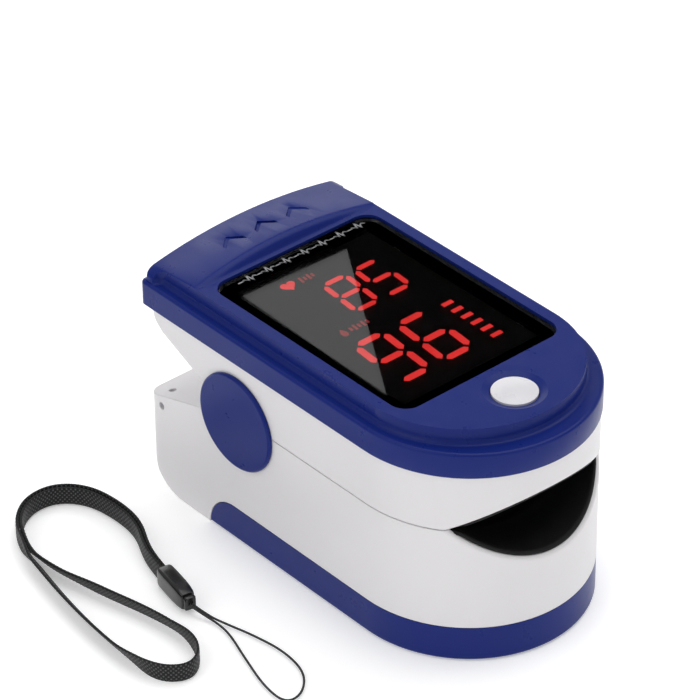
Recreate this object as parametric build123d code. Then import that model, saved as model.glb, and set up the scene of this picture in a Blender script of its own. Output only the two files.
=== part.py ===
from build123d import *
import math
import os

# Fingertip pulse oximeter: a sprung two-jaw clip with a display, and its loose wrist lanyard.
# Millimetres. +Z up, +Y from the finger opening to the squeeze lip, X across the hinge.
# The origin is at the middle of the footprint, on the surface that the battery cover rests on.

# ---- driving dimensions -------------------------------------------------------------------
LENGTH = 59.4                 # tip of the top cover's nose to the back of its flange
FLANGE_HALF = 16.5            # half width of the blue top cover's flange
SHELL_HALF = 16.2             # half width of both white shells
WALL = 1.5                    # moulded wall thickness
FRONT = -LENGTH / 2
REAR = LENGTH / 2
SHELL_FRONT = FRONT + 0.15
SHELL_REAR = REAR - 0.2
NOSE = 16.8                   # depth of the half-elliptical nose, flange
CORNER = 2.2                  # plan radius of the rear corners

Z_COVER = 4.95                # top edge of the battery cover's side walls
COVER_FLOOR = 1.3             # thickness of the battery cover's floor
Z_BAY = 12.4                  # ceiling of the battery bay
Z_PAD_FLOOR = 13.3            # floor that the lower finger pad lies on
Z_SPLIT = 19.6                # line where the two jaws meet
JAW_GAP = 0.07                # half of the gap between the jaws
Z_UPPER_FLOOR = 25.2          # underside of the upper shell's floor
UPPER_FLOOR = 1.2
Z_FLANGE = 27.7               # underside of the flange
Z_FLANGE_TOP = 31.1
Z_RIM = 33.3                  # top of the island round the display
Z_LENS = 33.0                 # face of the display lens
LENS_THICK = 1.0
Z_LIP = 34.6                  # crown of the squeeze lip

PIVOT_Y = 11.3                # hinge line
PIVOT_Z = 18.8
LOBE = 5.4                    # radius of the upper shell's hinge lobe
LOBE_GAP = 0.25               # clearance round the lobe in the lower shell's wall
CAP_RADIUS = 6.75
CAP_GAP = 0.1                 # running clearance between a cap and the shell's side
CAP_THICK = 0.5
BOSS = 2.2                    # radius of the pivot boss on each cap
RUNNING = 0.05                # radial clearance of the bosses in the lobes
SHAFT = 1.0
EAR_OUTER = 14.5              # outer face of the lower shell's hinge ears
EAR_THICK = 1.3

MOUTH_HALF = 12.1             # half width of the finger opening at the split line
MOUTH_DROP = 5.6              # depth of the opening in the lower jaw
MOUTH_RISE = 4.3              # height of the opening in the upper jaw

LENS_HALF = 13.05             # display lens, half width
LENS_FRONT = -16.2
LENS_REAR = 19.7
LENS_CORNER = 2.4
BUTTON_Y = -21.4
BUTTON_RADIUS = 2.9

CELL_RADIUS = 5.25            # AAA cell
CELL_LENGTH = 43.5            # without its nub
NUB = 1.0
CELL_X = 5.5
CELL_Z = 6.9
BAY_HALF = 11.6
BAY_FRONT = -23.0
BAY_REAR = 25.4
PLATE = 0.4                   # thickness of the battery contacts
COVER_END = 17.2              # rear end of the battery cover

STRAP_WIDTH = 2.6             # woven lanyard strap, standing on its edge
STRAP_THICK = 0.36
THREAD = 0.3                  # lanyard thread's diameter

NODES = {}


def keep(name, shape):
    """Collects a sub-part under its node name."""
    NODES[name] = shape


# ---- shared outlines ----------------------------------------------------------------------
def plan(inset, front=SHELL_FRONT, half=SHELL_HALF, rear=SHELL_REAR, nose=NOSE - 0.2, corner=CORNER):
    """Plan outline: straight sides, a half-elliptical nose and rounded rear corners."""
    w = half - inset
    back = rear - inset
    start = front + nose
    left = Line((-w, back), (-w, start))
    tip = EllipticalCenterArc((0, start), w, nose - inset, start_angle=180, arc_size=180)
    right = Line((w, start), (w, back))
    end = Line((w, back), (-w, back))
    face = make_face([left, tip, right, end])
    radius = max(corner - inset, 0.4)
    return fillet(face.vertices().group_by(Axis.Y)[-1], radius)


def slab(face, low, high):
    """Extrudes a plan outline between two heights."""
    return Pos(0, 0, low) * extrude(face, high - low)


def box(x0, x1, y0, y1, z0, z1):
    """A box between two corners."""
    middle = Pos((x0 + x1) / 2, (y0 + y1) / 2, (z0 + z1) / 2)
    return middle * Box(x1 - x0, y1 - y0, z1 - z0)


def across(edges, half=20.0):
    """A closed side outline in (Y, Z), extruded across X."""
    return extrude(Plane.YZ * make_face(edges), half, both=True)


def rod(radius, x0, x1, y, z):
    """A cylinder along X."""
    return Pos((x0 + x1) / 2, y, z) * Rot(0, 90, 0) * Cylinder(radius, x1 - x0)


def pin_y(radius, y0, y1, x, z):
    """A cylinder along Y."""
    return Pos(x, (y0 + y1) / 2, z) * Rot(90, 0, 0) * Cylinder(radius, y1 - y0)


def post(radius, x, y, z0, z1):
    """A cylinder along Z."""
    return Pos(x, y, (z0 + z1) / 2) * Cylinder(radius, z1 - z0)


def trough(half, depth, up, length, y_mid):
    """A cylinder along Y whose arc spans 2*half at the split line and reaches depth past it."""
    radius = (half * half + depth * depth) / (2 * depth)
    centre = Z_SPLIT + (radius - depth) * (1 if up else -1)
    return Pos(0, y_mid, centre) * Rot(90, 0, 0) * Cylinder(radius, length)


# ---- lower jaw ------------------------------------------------------------------------------
DECK_FRONT = (18.8, 17.0)     # (Y, Z) ends of the sloping deck behind the hinge
DECK_REAR = (SHELL_REAR, 13.8)
TRAY_END = 7.0                # rear wall of the finger tray
Z_SENSOR = 12.9               # underside of the sensor board
EYELET = (-14.3, 26.5, 13.1)  # elbow of the lanyard's hole: in at the side, out at the deck
EYELET_RADIUS = 0.5
HEEL = 6.0                    # radius of the lower rear corner


def under_deck():
    """Side outline of the space under the rear deck."""
    (y0, z0), (y1, z1) = DECK_FRONT, DECK_REAR
    return [Polyline((y0 - 1, 10), (y0 - 1, z0 - 1.2), (y1, z1 - 1.5), (y1, 10), close=True)]


def cover_side(grow):
    """Side outline of the battery cover: a long low wall with a quarter-round rear end."""
    high = Z_COVER + grow
    end = COVER_END + grow
    turn = 4.8 + grow
    front = Line((-32, -1), (-32, high))
    top = Line((-32, high), (end - turn, high))
    arc = EllipticalCenterArc((end - turn, 0), turn, high, start_angle=0, arc_size=90)
    drop = Line((end, 0), (end, -1))
    base = Line((end, -1), (-32, -1))
    return [front, top, arc, drop, base]


def lower_side():
    """Side outline of the lower shell."""
    top = Z_SPLIT - JAW_GAP
    points = [(SHELL_REAR - 0.7, HEEL), DECK_REAR, DECK_FRONT, (13.0, 19.0), (PIVOT_Y, top)]
    points += [(-32, top), (-32, 0)]
    outline = Polyline(*points, (SHELL_REAR - 0.7 - HEEL, 0))
    heel = RadiusArc((SHELL_REAR - 0.7 - HEEL, 0), (SHELL_REAR - 0.7, HEEL), -HEEL)
    return [outline, heel]


def on_nose(point):
    """True for a point on the outer face of the shells' nose."""
    start = SHELL_FRONT + NOSE - 0.2
    ring = (point.X / SHELL_HALF) ** 2 + ((point.Y - start) / (NOSE - 0.2)) ** 2
    return point.Y < start and abs(ring - 1) < 0.002


def mouth_edges(body, low, high):
    """Edges of the finger opening on the outer face of the nose."""
    inside = [e for e in body.edges() if low < e.center().Z < high and e.length > 8]
    return [e for e in inside if on_nose(e @ 0.3) and on_nose(e @ 0.6) and abs(e.tangent_at(0.5).Z) < 0.5]


def make_lower_shell():
    body = slab(plan(0), 0, Z_SPLIT) & across(lower_side())
    clear = LOBE + LOBE_GAP
    body -= rod(clear, -20, 20, PIVOT_Y, PIVOT_Z) - rod(clear, -EAR_OUTER, EAR_OUTER, PIVOT_Y, PIVOT_Z)
    # the battery cover wraps this recess
    cover = slab(plan(0), -1, Z_COVER + 0.1) & across(cover_side(0.1))
    core = slab(plan(WALL + 0.1), COVER_FLOOR + 0.1, 10)
    body -= cover - core
    # battery bay, open below up to the end of the cover, and the hollow nose in front of it
    step = Z_COVER + 0.7
    room = slab(plan(WALL + 0.75), -1, step) + slab(plan(WALL), step, 20)
    body -= box(-BAY_HALF, BAY_HALF, BAY_FRONT, COVER_END - 0.4, -1, Z_BAY) & room
    body -= box(-BAY_HALF, BAY_HALF, 0, BAY_REAR, COVER_FLOOR + 0.1, Z_BAY)
    body -= box(-BAY_HALF, BAY_HALF, DECK_FRONT[0], BAY_REAR, 10, 20) & across(under_deck())
    nose = box(-20, 20, -40, BAY_FRONT - 1.3, -1, 20)
    body -= slab(plan(WALL + 1.4), -1, Z_COVER + 1.3) & nose
    body -= slab(plan(WALL), Z_COVER + 1.3, Z_BAY) & nose
    # pad tray in front of the hinge, and the hinge bay behind it
    body -= slab(plan(WALL), Z_PAD_FLOOR, 25) & box(-20, 20, -40, TRAY_END, 0, 40)
    ear = EAR_OUTER - EAR_THICK
    bay = box(-SHELL_HALF + WALL, SHELL_HALF - WALL, TRAY_END + 1.2, DECK_FRONT[0] - 1.2, Z_PAD_FLOOR, 25)
    body -= bay
    for side in (-1, 1):
        low, high = sorted((side * ear, side * EAR_OUTER))
        plate = box(low, high, 8.1, 14.6, 13.0, PIVOT_Z)
        head = rod(3.3, min(side * ear, side * EAR_OUTER), max(side * ear, side * EAR_OUTER), PIVOT_Y, PIVOT_Z)
        body += plate + head
    body -= rod(SHAFT + 0.02, -15, 15, PIVOT_Y, PIVOT_Z)
    body -= trough(MOUTH_HALF, MOUTH_DROP, True, 16, FRONT)
    body = fillet(mouth_edges(body, 13, Z_SPLIT - JAW_GAP - 0.05), 0.5)
    # sensor pocket and the slot that its flexible circuit runs back through
    body -= box(-3.0, 3.0, -9.1, -1.3, Z_SENSOR, 14)
    body -= box(-2.3, 2.3, -2, 9.6, Z_SENSOR, 14)
    # eyelet for the lanyard through the rear left corner
    eye_x, eye_y, eye_z = EYELET
    body -= post(EYELET_RADIUS, eye_x, eye_y, eye_z, 20)
    body -= rod(EYELET_RADIUS, -17, eye_x, eye_y, eye_z)
    # straight rails that the battery cover slides along
    rail = SHELL_HALF - WALL - 0.1
    for side in (-1, 1):
        inner = side * (rail - 0.2)
        outer = side * (rail + 0.5)
        body += box(min(inner, outer), max(inner, outer), -9, 11.0, 2.7, 3.5)
    return body


def make_battery_cover():
    solid = slab(plan(0), 0, Z_COVER) & across(cover_side(0))
    rim = [e for e in solid.edges() if abs(e.center().Z) < 0.01 and e.length > 20]
    solid = fillet(rim, 0.4)
    solid -= slab(plan(WALL), COVER_FLOOR, 10)
    for side in (-1, 1):
        inner = side * (SHELL_HALF - WALL - 0.5)
        outer = side * (SHELL_HALF - WALL + 0.55)
        solid -= box(min(inner, outer), max(inner, outer), -9.4, 20, 2.6, 3.6)
    # finger grip ribs under the nose, flush with the resting face
    for i in range(5):
        solid -= box(-5, 5, -22.6 + 1.6 * i, -21.8 + 1.6 * i, -1, 0.4)
    return solid


def make_pad(up):
    """Half of the silicone finger channel: a block with a trough, and a lip through the mouth."""
    if up:
        block = slab(plan(WALL + 0.3), Z_SPLIT + 0.3, Z_UPPER_FLOOR)
        lip = slab(plan(0.4), Z_SPLIT + 0.3, Z_UPPER_FLOOR)
        lip &= trough(MOUTH_HALF - 0.1, MOUTH_RISE - 0.1, False, 14, FRONT)
        hollow = trough(11.1, 3.7, False, 60, -25)
    else:
        block = slab(plan(WALL + 0.1), Z_PAD_FLOOR, Z_SPLIT - 0.3)
        lip = slab(plan(0.4), Z_PAD_FLOOR, Z_SPLIT - 0.3)
        lip &= trough(MOUTH_HALF - 0.1, MOUTH_DROP - 0.1, True, 14, FRONT)
        hollow = trough(11.3, 5.0, True, 60, -25)
    block += lip
    block &= box(-20, 20, -40, 6.9, 0, 40)
    hollow &= box(-20, 20, -60, 4.4, 0, 40)
    window = box(-2.5, 2.5, -7.7, -2.7, 5, 35)
    board = box(-3.0, 3.0, -9.1, -1.3, 5, Z_SENSOR + 0.55)
    return block - hollow - window - board


def make_cell(x, nub):
    """An AAA cell; nub is +1 or -1, the end its positive nub points to."""
    tip = BAY_REAR - PLATE if nub > 0 else BAY_FRONT + PLATE
    shoulder = tip - nub * NUB
    far = shoulder - nub * CELL_LENGTH
    can = fillet(pin_y(CELL_RADIUS, min(shoulder, far), max(shoulder, far), x, CELL_Z).edges(), 0.4)
    return can + pin_y(1.9, min(tip, shoulder), max(tip, shoulder), x, CELL_Z)


def coil(radius, wire, pitch, turns, cone=0.0):
    """A round-wire helix along +Z from its base."""
    path = Helix(pitch, pitch * turns, radius, cone_angle=cone)
    start = Plane(origin=path @ 0, z_dir=path % 0)
    return sweep(start * Circle(wire), path)


def make_battery_springs():
    turns = 3
    height = BAY_REAR - BAY_FRONT - 2 * PLATE - NUB - CELL_LENGTH
    pitch = (height - 0.62) / turns
    spring = Pos(0, 0, 0.31) * coil(3.4, 0.3, pitch, turns, -14)
    rear = Pos(-CELL_X, BAY_REAR - PLATE, CELL_Z) * Rot(90, 0, 0) * spring
    front = Pos(CELL_X, BAY_FRONT + PLATE, CELL_Z) * Rot(-90, 0, 0) * spring
    return Compound(children=[rear.solid(), front.solid()])


def make_terminals():
    plates = [
        ("terminal_bridge", -8.9, 8.9, BAY_FRONT),
        ("negative_terminal", -CELL_X - 4.2, -CELL_X + 4.2, BAY_REAR - PLATE),
        ("positive_terminal", CELL_X - 4.2, CELL_X + 4.2, BAY_REAR - PLATE),
    ]
    for name, x0, x1, y in plates:
        plate = box(x0, x1, y, y + PLATE, 3.2, 10.6)
        keep(name, fillet(plate.edges().filter_by(Axis.Y), 1.2))


def make_sensor(name, board_z, chip_z, window_z):
    """A small board with one optical chip and its clear window. Each height is (low, high)."""
    keep(name + "_board", box(-2.9, 2.9, -9.0, -1.4, *board_z))
    keep(name, box(-1.5, 1.5, -6.7, -3.7, *chip_z))
    keep(name + "_window", box(-2.45, 2.45, -7.65, -2.75, *window_z))


# ---- hinge ----------------------------------------------------------------------------------
SPRING_COIL = 2.2
SPRING_WIRE = 0.3
SPRING_X = 8.6                # where each coil starts along the shaft


def make_hinge_cap(side):
    """A blue cap with the boss that the upper jaw's lobe turns on."""
    inner = SHELL_HALF + CAP_GAP
    outer = inner + CAP_THICK
    cap = rod(CAP_RADIUS, inner, outer, PIVOT_Y, PIVOT_Z)
    cap = fillet(cap.edges().group_by(Axis.X)[-1], 0.35)
    cap += rod(BOSS, EAR_OUTER, inner, PIVOT_Y, PIVOT_Z)
    cap -= rod(SHAFT, EAR_OUTER - 0.5, EAR_OUTER + 1.2, PIVOT_Y, PIVOT_Z)
    return cap if side > 0 else mirror(cap, Plane.YZ)


def wire_arm(x, from_z, end):
    """A straight piece of spring wire at x, from above or below the shaft to end (Y, Z)."""
    start = Vector(x, PIVOT_Y, from_z)
    finish = Vector(x, *end)
    return sweep(Plane(origin=start, z_dir=finish - start) * Circle(SPRING_WIRE), Line(start, finish))


def make_torsion_spring(side):
    """Four turns round the shaft, and the arm that bears on the lower shell."""
    wire = Pos(SPRING_X, PIVOT_Y, PIVOT_Z) * Rot(0, 90, 0) * coil(SPRING_COIL, SPRING_WIRE, 0.75, 4)
    spring = wire.solid() + wire_arm(SPRING_X, PIVOT_Z - SPRING_COIL, (16.8, Z_PAD_FLOOR + 0.34))
    return spring if side > 0 else mirror(spring, Plane.YZ)


def make_spring_arm(side):
    """The other arm of the spring, which turns with the upper jaw that it pushes up."""
    arm = wire_arm(SPRING_X + 3.65, PIVOT_Z + SPRING_COIL, (14.4, Z_UPPER_FLOOR - 0.34))
    return arm if side > 0 else mirror(arm, Plane.YZ)


# ---- upper jaw ------------------------------------------------------------------------------
SLOPE = [(16.4, 20.8), (25.7, 24.9), (28.6, 27.4)]    # (Y, Z) of the rear underside


def upper_side():
    """Side outline of the upper shell: level jaw line, hinge lobe and rising rear edge."""
    low = Z_SPLIT + JAW_GAP
    points = [*SLOPE, (SLOPE[-1][0], Z_FLANGE), (-32, Z_FLANGE), (-32, low), (PIVOT_Y, low)]
    return [Polyline(*points, close=True)]


def over_slope():
    """Side outline of the hollow above the sloping rear underside."""
    (y0, z0), (y1, z1), (y2, z2) = SLOPE
    return [Polyline((y0, z0 + 1.5), (y1 - 0.3, z1 + 1.4), (y2, z2 + 1.6), (y2, 40), (y0, 40), close=True)]


def make_upper_shell():
    inner_top = Z_UPPER_FLOOR + UPPER_FLOOR
    body = slab(plan(0, rear=SHELL_REAR - 0.6), 15, Z_FLANGE) & across(upper_side())
    for side in (-1, 1):
        walls = sorted((side * SHELL_HALF, side * (SHELL_HALF - WALL)))
        body += rod(LOBE, *walls, PIVOT_Y, PIVOT_Z)
    # electronics bay above the floor and over the sloping rear, pad tray and hinge bay below
    body -= slab(plan(WALL, rear=SHELL_REAR - 0.6), inner_top, 40)
    body -= slab(plan(WALL, rear=SHELL_REAR - 0.6), 20, 40) & across(over_slope())
    body -= slab(plan(WALL), 10, Z_UPPER_FLOOR) & box(-20, 20, -40, 15.2, 0, 40)
    body -= trough(MOUTH_HALF, MOUTH_RISE, False, 16, FRONT)
    body = fillet(mouth_edges(body, Z_SPLIT + JAW_GAP + 0.05, 26), 0.5)
    body -= rod(BOSS + RUNNING, -20, 20, PIVOT_Y, PIVOT_Z)
    # opening over the light source, and the slot for the flexible circuit
    body -= box(-2.5, 2.5, -7.7, -2.7, 24, 30)
    body -= box(-2.6, 2.6, 8.0, 12.0, 24, 30)
    for x, y in PCB_POSTS:
        body += post(1.6, x, y, inner_top, Z_PCB)
        body -= post(0.6, x, y, inner_top, Z_PCB + 1)
    for x, y in CASE_SCREWS:
        body -= post(1.0, x, y, 24, 30)
        body -= post(1.8, x, y, 24, Z_UPPER_FLOOR + 0.6)
    return body


Z_PCB = 27.5
PCB_THICK = 1.0
PCB_POSTS = [(-12.5, -8.0), (12.5, -8.0), (-12.5, 15.0), (12.5, 15.0)]
CASE_SCREWS = [(-10.4, -18.6), (10.4, -18.6), (-11.0, 22.0), (11.0, 22.0)]
ISLAND_INSET = 1.75           # width of the flange's flat top at the sides
ISLAND_NOSE = 2.6             # and at the nose
EAR_FRONT = 27.4              # where the squeeze lip widens to the flange's own width
LIP_ARCH = 84.0               # radius of the lip's arch from side to side
LIP_FALL = 4.6                # degrees that the lip falls towards the rear
LIP_ROLL = 1.9                # radius of the shoulders at the lip's two ends


def island_plan(inset, ears=True):
    """Plan of the raised island: the flange's outline drawn in, with full-width ears at the rear."""
    half = FLANGE_HALF - ISLAND_INSET - inset
    wide = FLANGE_HALF - 0.45
    start = FRONT + NOSE
    deep = NOSE - ISLAND_NOSE - inset
    tip = EllipticalCenterArc((0, start), half, deep, start_angle=180, arc_size=180)
    if not ears:
        back = EAR_FRONT + 0.5 - inset
        return make_face([tip, Polyline((half, start), (half, back), (-half, back), (-half, start))])
    back = REAR - 0.3
    left = Polyline((-wide, back - 0.35), (-wide, EAR_FRONT + 0.5), (-half, EAR_FRONT - 0.3), (-half, start))
    right = Polyline((half, start), (half, EAR_FRONT - 0.3), (wide, EAR_FRONT + 0.5), (wide, back - 0.35))
    bow = ThreePointArc((wide, back - 0.35), (0, back), (-wide, back - 0.35))
    face = make_face([left, tip, right, bow])
    face = fillet([v for v in face.vertices() if v.Y > back - 1], 0.6)
    waist = [v for v in face.vertices() if abs(v.Y - EAR_FRONT + 0.3) < 0.01]
    face = fillet(waist, 1.1)
    tips = [v for v in face.vertices() if abs(v.Y - EAR_FRONT - 0.5) < 0.01]
    return fillet(tips, 0.25)


def make_island():
    """The island round the lens: a level rim, a soft riser behind the lens and the arched squeeze lip."""
    island = slab(island_plan(0), Z_FLANGE_TOP - 1, Z_LIP + 2)
    riser = LENS_REAR + 0.5
    high = Z_LIP + 1.6
    side_view = [(-40, Z_RIM), (riser, Z_RIM), (riser + 1.9, high), (40, high), (40, 20), (-40, 20)]
    island &= across([Polyline(*side_view, close=True)])
    crown = Pos(0, 0, -LIP_ARCH) * Rot(90, 0, 0) * Cylinder(LIP_ARCH, 120)
    island &= Pos(0, riser + 1.7, Z_LIP) * Rot(-LIP_FALL, 0, 0) * crown
    long = [e for e in island.edges() if e.length > 20]
    inner = [e for e in long if e.center().Z > Z_RIM - 0.01 and 20 < e.center().Y < 23]
    ridge = inner[0] if inner[0].center().Z > inner[1].center().Z else inner[1]
    island = fillet(ridge, 1.3)
    long = [e for e in island.edges() if e.length > 20]
    foot = [e for e in long if abs(e.center().Z - Z_RIM) < 0.01 and abs(e.center().Y - riser) < 0.01]
    return fillet(foot, 0.9)


def outside_roll(side):
    """What lies outside the round shoulder between the lip's arch and its end face on one side."""
    x = FLANGE_HALF - 0.45 - LIP_ROLL
    z = math.sqrt((LIP_ARCH - LIP_ROLL) ** 2 - x**2) - LIP_ARCH
    lean = math.asin(x / (LIP_ARCH - LIP_ROLL))
    start = (x + 8 * math.sin(lean), z + 8 * math.cos(lean))
    points = [(x, z), start, (x + 8, start[1]), (x + 8, z)]
    corner = make_face(Polyline(*[(side * u, v) for u, v in points], close=True))
    corner -= Pos(side * x, z) * Circle(LIP_ROLL)
    return Rot(90, 0, 0) * extrude(corner, 30, both=True)


def make_top_cover():
    flange = slab(plan(0, FRONT, FLANGE_HALF, REAR, NOSE, 0.9), Z_FLANGE, Z_FLANGE_TOP)
    flange = fillet(flange.edges().group_by(Axis.Z)[-1], 0.4)
    body = flange + make_island()
    # hollow inside
    cavity = slab(plan(WALL + 0.1, FRONT, FLANGE_HALF, REAR, NOSE), Z_FLANGE - 1, Z_FLANGE_TOP - WALL)
    attic = slab(island_plan(WALL, ears=False), Z_FLANGE_TOP - WALL - 1, 31.9)
    body -= cavity + attic
    # lens seat and the window under it
    seat_front = LENS_FRONT - 0.1
    seat_rear = LENS_REAR + 0.1
    seat = RectangleRounded(2 * LENS_HALF + 0.2, seat_rear - seat_front, LENS_CORNER)
    seat = Pos(0, (seat_front + seat_rear) / 2) * seat
    body -= slab(seat, Z_LENS - LENS_THICK - 0.1, 40)
    body -= box(-11.2, 11.2, -14.2, 17.6, 25, 33)
    # button hole in a shallow round dish
    body -= post(BUTTON_RADIUS + 0.12, 0, BUTTON_Y, 30, 40)
    body -= Pos(0, BUTTON_Y, Z_RIM + 9.6) * Sphere(10.4)
    # four bosses for the case screws
    for x, y in CASE_SCREWS:
        body += post(1.7, x, y, Z_PCB - 1.0, 32.0) - post(0.6, x, y, 20, 31)
    # three pressed chevrons that mark where to squeeze
    for i in range(3):
        x = 5.2 * (i - 1)
        body -= Pos(x, 25.0, Z_LIP - 0.6) * extrude(chevron(), 2)
    # soft hollow all round the foot of the island, up to its ears
    half = FLANGE_HALF - ISLAND_INSET
    level = [e for e in body.edges() if abs(e.center().Z - Z_FLANGE_TOP) < 0.02]
    foot = [e for e in level if abs(abs(e.center().X) - half) < 0.01 or 45 < e.length < 46]
    body = fillet(foot, 0.65)
    # the lip's two ends roll over into its end faces
    for side in (-1, 1):
        roll = Pos(0, LENS_REAR + 2.2, Z_LIP) * Rot(-LIP_FALL, 0, 0) * outside_roll(side)
        body -= roll & box(-20, 20, -40, 40, Z_FLANGE_TOP + 0.02, 50)
    return body


def chevron():
    """A small arrowhead outline pointing to +Y."""
    arm = 1.7
    thick = 0.75
    points = [(-arm, -1.0), (0, 0.5), (arm, -1.0), (arm, -1.0 + thick), (0, 0.5 + thick), (-arm, -1.0 + thick)]
    return make_face(Polyline(*points, close=True))


def make_lens():
    length = LENS_REAR - LENS_FRONT
    middle = (LENS_REAR + LENS_FRONT) / 2
    sheet = Pos(0, middle) * RectangleRounded(2 * LENS_HALF, length, LENS_CORNER - 0.1)
    lens = slab(sheet, Z_LENS - LENS_THICK, Z_LENS)
    return fillet(lens.edges().group_by(Axis.Z)[-1], 0.12)


def make_lens_tape():
    """Adhesive frame between the lens and its seat."""
    length = LENS_REAR - LENS_FRONT - 0.6
    middle = (LENS_REAR + LENS_FRONT) / 2
    z = Z_LENS - LENS_THICK
    ring = Pos(0, middle) * RectangleRounded(2 * LENS_HALF - 0.6, length, LENS_CORNER - 0.4)
    return slab(ring, z - 0.1, z) - box(-11.2, 11.2, -14.2, 17.6, 25, 40)


def make_button():
    crown = 14.0
    cap = post(BUTTON_RADIUS, 0, BUTTON_Y, 31.2, Z_RIM + 0.3)
    cap &= Pos(0, BUTTON_Y, Z_RIM + 0.15 - crown) * Sphere(crown)
    collar = post(BUTTON_RADIUS + 0.7, 0, BUTTON_Y, 31.0, 31.6)
    stem = post(1.1, 0, BUTTON_Y, Z_SWITCH + 0.7, 31.2)
    return cap + collar + stem


Z_SWITCH = Z_PCB + PCB_THICK + 1.1    # top face of the tactile switch's body


def make_switch():
    base = box(-2.2, 2.2, BUTTON_Y - 2.2, BUTTON_Y + 2.2, Z_PCB + PCB_THICK, Z_SWITCH)
    keep("switch_body", base - post(1.05, 0, BUTTON_Y, Z_PCB + PCB_THICK + 0.3, 40))
    keep("switch_plunger", post(1.0, 0, BUTTON_Y, Z_SWITCH - 0.4, Z_SWITCH + 0.7))


def make_support_chips():
    """Three small packages under the main board."""
    chips = [(-9.0, -13.0, 5.0, 4.0), (8.5, -14.0, 3.0, 3.0), (-9.0, 3.0, 3.6, 5.0)]
    z = Z_PCB - 0.7
    boxes = [box(x - w / 2, x + w / 2, y - d / 2, y + d / 2, z, Z_PCB) for x, y, w, d in chips]
    return Compound(children=boxes)


def make_pcb():
    board = slab(plan(WALL + 0.5, rear=20.2), Z_PCB, Z_PCB + PCB_THICK)
    for x, y in PCB_POSTS:
        board -= post(0.9, x, y, 20, 40)
    for x, y in CASE_SCREWS[:2]:
        board -= post(2.2, x, y, 20, 40)
    return board


def make_screws(points, z_head, head, shank, down, length):
    """Identical pan-head screws in one node; down is True when the head is on top."""
    screws = []
    for x, y in points:
        if down:
            top = post(head, x, y, z_head, z_head + 0.6)
            body = top + post(shank, x, y, z_head - length, z_head)
            slot = box(x - head, x + head, y - 0.15, y + 0.15, z_head + 0.35, z_head + 1)
        else:
            top = post(head, x, y, z_head - 0.6, z_head)
            body = top + post(shank, x, y, z_head, z_head + length)
            slot = box(x - head, x + head, y - 0.15, y + 0.15, z_head - 1, z_head - 0.35)
        screws.append((body - slot).solid())
    return Compound(children=screws)


# ---- display --------------------------------------------------------------------------------
Z_FACE = 31.7                 # face of the display module
SEGMENT_THICK = 0.12
SLANT = 0.09                  # sideways lean of the figures
SEGMENTS = {"5": "acdfg", "6": "acdefg", "8": "abcdefg", "9": "abcdfg"}


def bar(x0, y0, x1, y1, width):
    """A segment with pointed ends from one corner of a digit to the next."""
    run = Vector(x1 - x0, y1 - y0)
    along = run.normalized()
    side = Vector(-along.Y, along.X) * (width / 2)
    start = Vector(x0, y0) + along * (0.46 * width)
    end = Vector(x1, y1) - along * (0.46 * width)
    inset = along * (width / 2)
    points = [start, start + inset + side, end - inset + side, end, end - inset - side, start + inset - side]
    return make_face(Polyline(*[(p.X, p.Y) for p in points], close=True))


def digit(figure, x, y, wide, tall, width):
    """Slightly leaning seven-segment figure centred on (x, y), upright seen from the finger end."""
    lean = SLANT * tall / 2
    l, r = x - wide / 2, x + wide / 2
    b, m, t = y - tall / 2, y, y + tall / 2
    ends = {
        "a": (l + lean, t, r + lean, t), "b": (r, m, r + lean, t), "c": (r - lean, b, r, m),
        "d": (l - lean, b, r - lean, b), "e": (l - lean, b, l, m), "f": (l, m, l + lean, t), "g": (l, m, r, m),
    }
    return [bar(*ends[s], width) for s in SEGMENTS[figure]]


def make_segments():
    """The lit light guides: a small 85 at the rear, a large 96 in front, and a six-bar column."""
    faces = []
    faces += digit("8", 0.0, 8.3, 3.6, 6.9, 0.7)
    faces += digit("5", 5.2, 8.3, 3.6, 6.9, 0.7)
    faces += digit("9", -5.45, -5.5, 4.4, 9.3, 0.92)
    faces += digit("6", 1.5, -5.5, 4.4, 9.3, 0.92)
    for i in range(6):
        faces.append(Pos(7.4, -1.4 - 1.78 * i) * Rectangle(1.6, 0.62))
    solids = [extrude(Pos(0, 0, Z_FACE) * f, SEGMENT_THICK).solid() for f in faces]
    return Compound(children=solids)


# ---- wrist lanyard, lying beside the clip ----------------------------------------------------
CLASP_TAIL = Vector(-28.75, 11.2)     # end that the strap leaves
CLASP_NOSE = Vector(-30.05, 4.3)      # end that the thread leaves
# middle of the doubled part of the strap, from the clasp to where its strands part
DOUBLED = [
    (-27.4, 16.4), (-25.5, 20.8), (-24.7, 25.6), (-25.5, 30.6), (-28.4, 33.8),
    (-32.4, 34.1), (-35.9, 31.9), (-38.0, 28.2),
]
APART = [0.27, 0.32, 0.36, 0.38, 0.36, 0.32, 0.28, 0.27]    # half distance between the two strands
LOOP = [
    (-39.4, 22.8), (-40.7, 16.2), (-41.6, 9.5), (-42.0, 2.9), (-41.8, -3.1), (-38.6, -5.9),
    (-35.4, -4.2), (-33.9, 0.2), (-34.5, 6.0), (-36.6, 14.4), (-38.2, 22.6),
]
THREAD_ROUTE = [
    (-29.3, 1.9), (-28.5, -0.4), (-27.3, -4.4), (-26.5, -9.4), (-27.3, -14.2),
    (-30.2, -17.0), (-32.8, -16.9), (-32.7, -12.9), (-30.9, -7.0), (-29.3, -2.2),
    (-28.9, 0.4), (-29.6, 2.2),
]
THREAD_EXIT = 1.3             # height of the thread where it leaves the clasp, and at its next point
THREAD_NEAR = 0.6
SPACING = 0.21                # half distance between two strands that leave the clasp together


def clasp_axes():
    along = (CLASP_TAIL - CLASP_NOSE).normalized()
    return along, Vector(along.Y, -along.X)


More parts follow.
